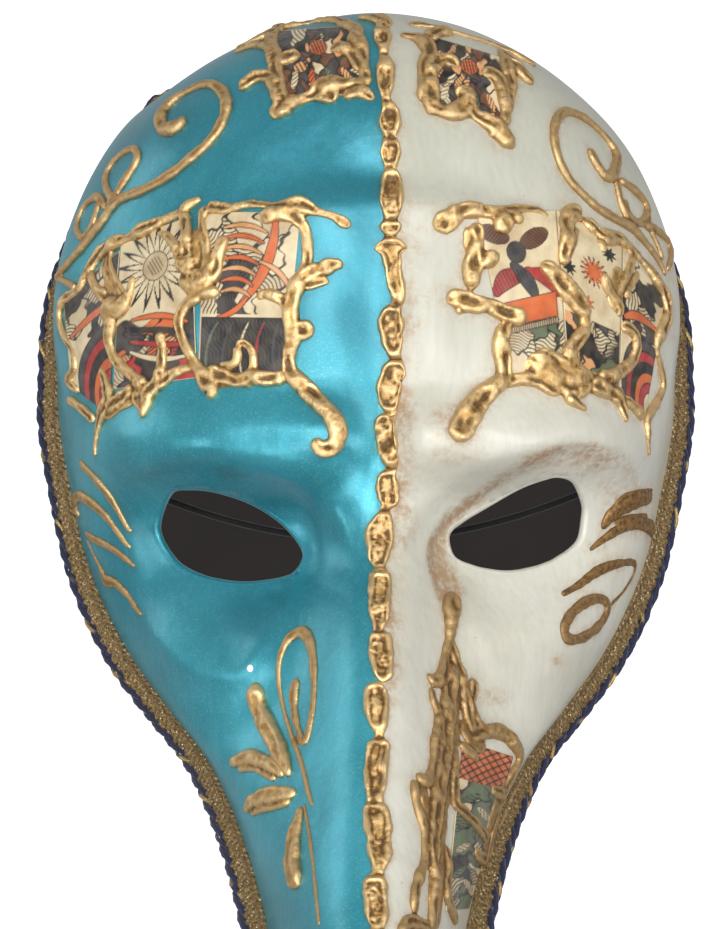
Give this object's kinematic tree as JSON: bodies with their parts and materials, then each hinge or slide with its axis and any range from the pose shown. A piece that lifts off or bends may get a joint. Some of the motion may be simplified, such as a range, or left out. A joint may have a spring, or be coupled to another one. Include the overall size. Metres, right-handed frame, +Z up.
{
  "type": "plague doctor mask",
  "caption": "Venetian long-nosed half mask with a domed forehead, almond eye holes, an open-backed beak, gilded relief, pasted paper panels and a corded rim.",
  "frame": {"origin": "midway between the two eye holes, on the wearer's eye plane", "axes": "+Z up as worn, the mask faces -Y, +X to the right of someone looking at its face"},
  "size_m": [0.1847, 0.1894, 0.3134],
  "materials": {
    "painted_papier_mache": "pearl turquoise paint on one half, aged ivory lacquer on the other",
    "gilded_gesso": "piped gesso under worn gold leaf with dark patina",
    "printed_paper": "varnished printed paper",
    "gold_braid": "glittering metallic braid",
    "navy_cord": "twisted navy yarn with a gold thread",
    "black_felt": "matt felt",
    "black_elastic": "woven cover over rubber"
  },
  "bodies": {
    "root": {"beak_chain": "gilded_gesso", "brow_chain": "gilded_gesso", "crown_chain": "gilded_gesso", "elastic_cord": "black_elastic", "felt_lining": "black_felt", "gold_braid": "gold_braid", "left_brow_card_inner": "printed_paper", "left_brow_card_middle": "printed_paper", "left_brow_card_outer": "printed_paper", "left_brow_frame": "gilded_gesso", "left_crown_card": "printed_paper", "left_crown_frame": "gilded_gesso", "left_crown_scroll": "gilded_gesso", "left_nose_leaf_bottom": "gilded_gesso", "left_nose_leaf_lower": "gilded_gesso", "left_nose_leaf_middle": "gilded_gesso", "left_nose_leaf_top": "gilded_gesso", "left_nose_spiral": "gilded_gesso", "left_nose_stem": "gilded_gesso", "left_temple_stroke_broad": "gilded_gesso", "left_temple_stroke_lower": "gilded_gesso", "left_temple_stroke_thin": "gilded_gesso", "left_temple_stroke_upper": "gilded_gesso", "mask_shell": "painted_papier_mache", "navy_edge_cord": "navy_cord", "nose_chain": "gilded_gesso", "right_brow_card_inner": "printed_paper", "right_brow_card_middle": "printed_paper", "right_brow_card_outer": "printed_paper", "right_brow_frame": "gilded_gesso", "right_cheek_card": "printed_paper", "right_cheek_frame": "gilded_gesso", "right_crown_card": "printed_paper", "right_crown_frame": "gilded_gesso", "right_crown_scroll": "gilded_gesso", "right_temple_leaf_lower": "gilded_gesso", "right_temple_leaf_upper": "gilded_gesso", "right_temple_ring": "gilded_gesso", "right_temple_stroke": "gilded_gesso", "strap_tab_left": "black_felt", "strap_tab_right": "black_felt"}
  },
  "joints": []
}
